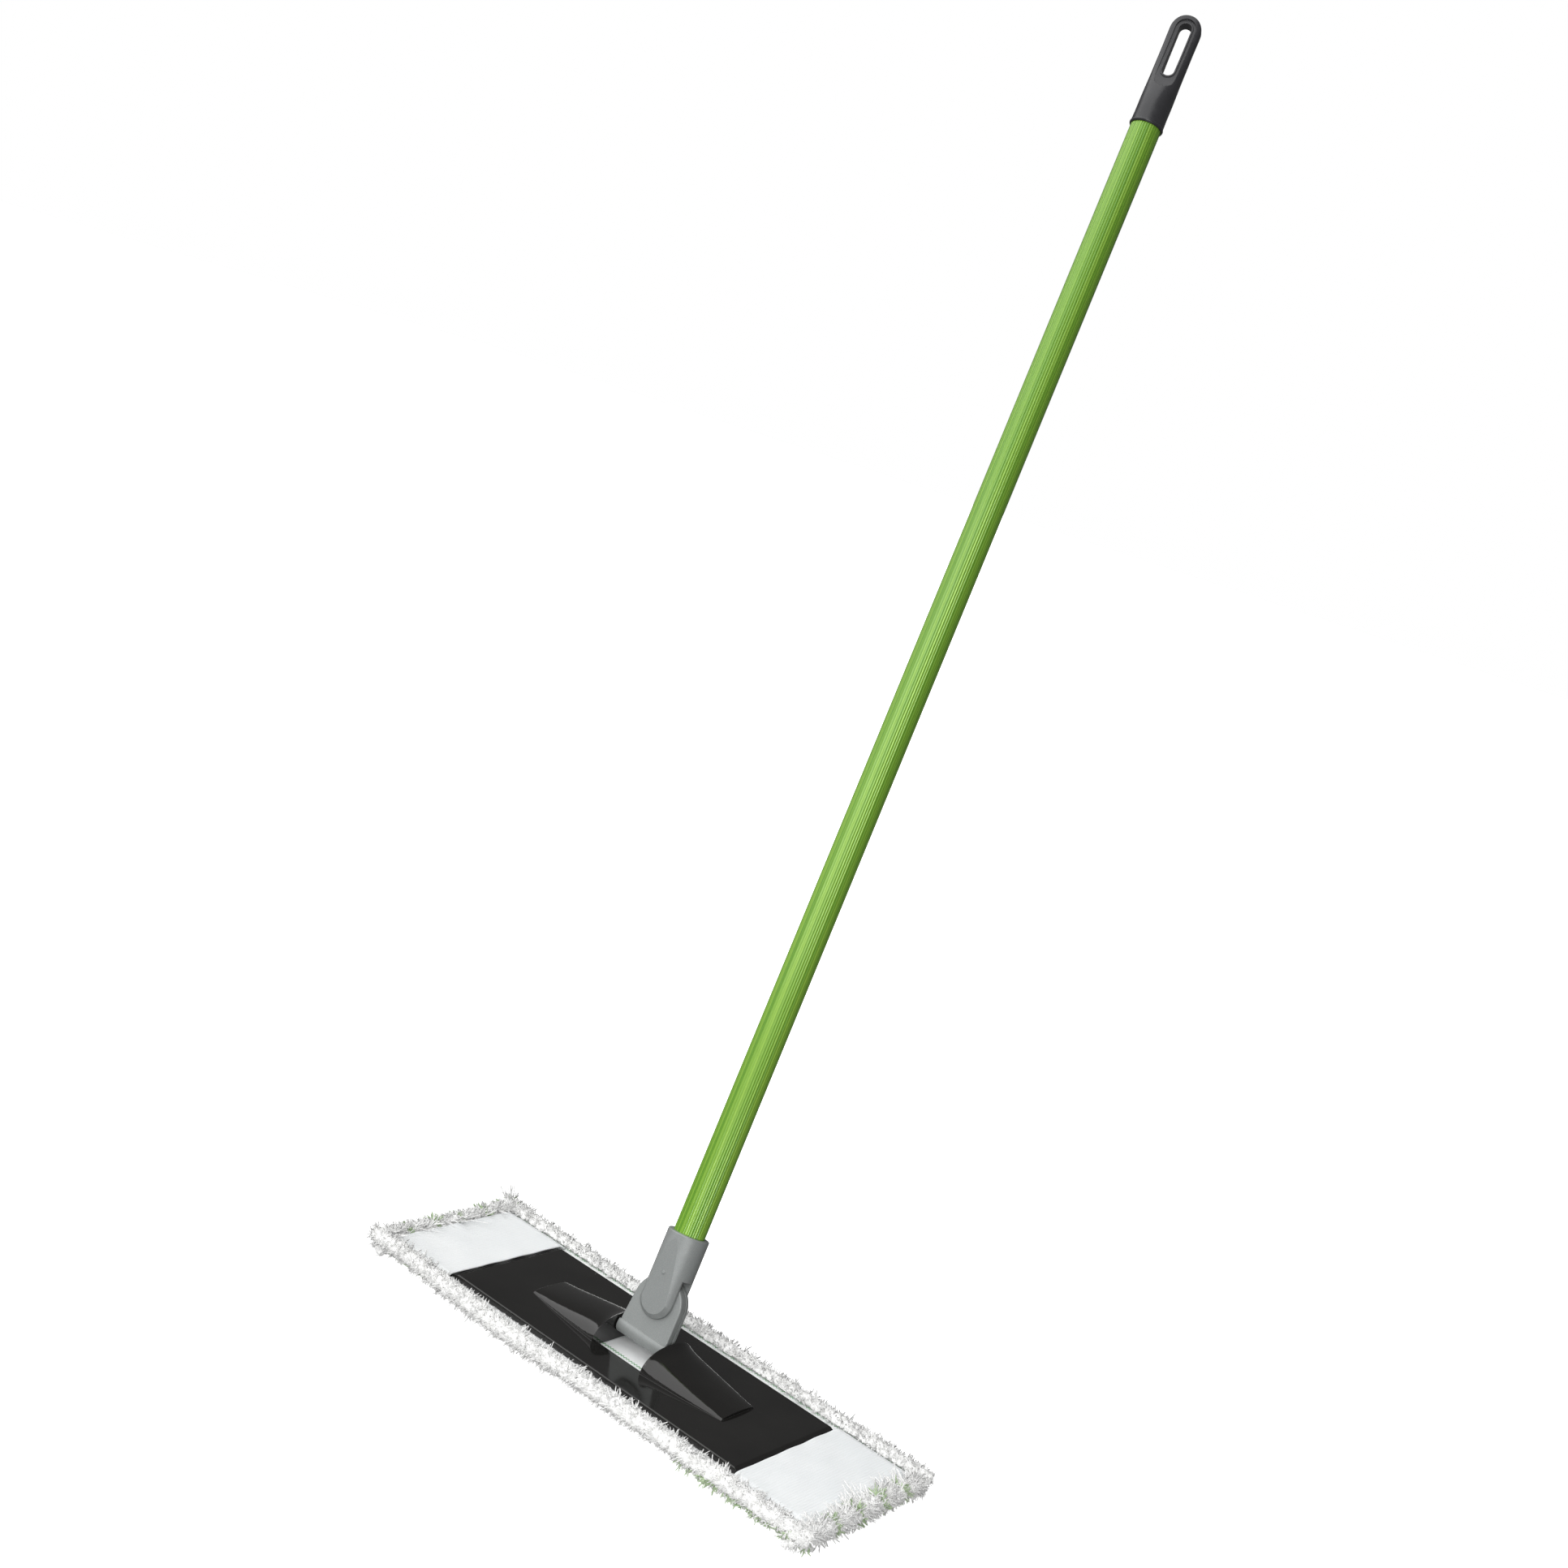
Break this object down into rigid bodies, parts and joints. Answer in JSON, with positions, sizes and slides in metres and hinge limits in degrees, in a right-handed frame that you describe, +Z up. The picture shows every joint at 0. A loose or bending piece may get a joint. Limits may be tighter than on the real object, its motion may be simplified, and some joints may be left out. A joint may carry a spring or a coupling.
{
  "type": "flat mop",
  "caption": "Flat floor mop with a black plate in a white and green microfibre pad, a swivelling grey yoke joint, a ribbed green tube handle and a looped hanger cap.",
  "frame": {"origin": "centre of the pad's flat sole, on the floor", "axes": "+X along the plate's length, -Y the side the handle leans away from (the front), +Z up"},
  "size_m": [0.43, 0.3689, 1.0619],
  "materials": {
    "pile_white": "deep soft microfibre pile",
    "pile_green": "deep soft microfibre pile",
    "backing_cloth": "smooth woven cloth",
    "green_yarn": "zigzag yarn stitch",
    "pocket_cloth": "fine cross-ribbed cloth",
    "seam_thread": "sewing thread",
    "plate_black": "polished moulded plastic",
    "axle_steel": "drawn steel rod",
    "joint_grey": "fine spark-eroded texture, satin",
    "socket_grey": "fine spark-eroded texture, satin",
    "pin_steel": "drawn steel rod",
    "plug_plastic": "plain moulded plastic",
    "tube_green": "semi-gloss coating over fine lengthwise ribs",
    "cap_charcoal": "satin moulded plastic"
  },
  "bodies": {
    "head": {"pad_sole_pile": "pile_white", "pad_sole_stripes": "pile_green", "pad_fringe_front": "pile_white", "pad_fringe_back": "pile_white", "pad_fringe_left": "pile_white", "pad_fringe_right": "pile_white", "pad_fringe_stripes": "pile_green", "pad_backing": "backing_cloth", "pad_stripe_stitches": "green_yarn", "pocket_left": "pocket_cloth", "pocket_right": "pocket_cloth", "pocket_seams": "seam_thread", "base_plate": "plate_black", "hinge_axle": "axle_steel"},
    "yoke": {"yoke": "joint_grey"},
    "handle": {"swivel_pin": "pin_steel", "handle_socket": "socket_grey", "thread_plug": "plug_plastic", "handle_tube": "tube_green", "hanger_cap": "cap_charcoal"}
  },
  "joints": [
    {"name": "yoke_tilt", "type": "hinge", "parent": "head", "child": "yoke", "pos_m": [0, 0, 0.0243], "axis": [1, 0, 0], "range_deg": [-55, 85]},
    {"name": "handle_swing", "type": "hinge", "parent": "yoke", "child": "handle", "pos_m": [0, 0.00677, 0.0494], "axis": [0, 0.9655, -0.2605], "range_deg": [-52, 59]}
  ]
}
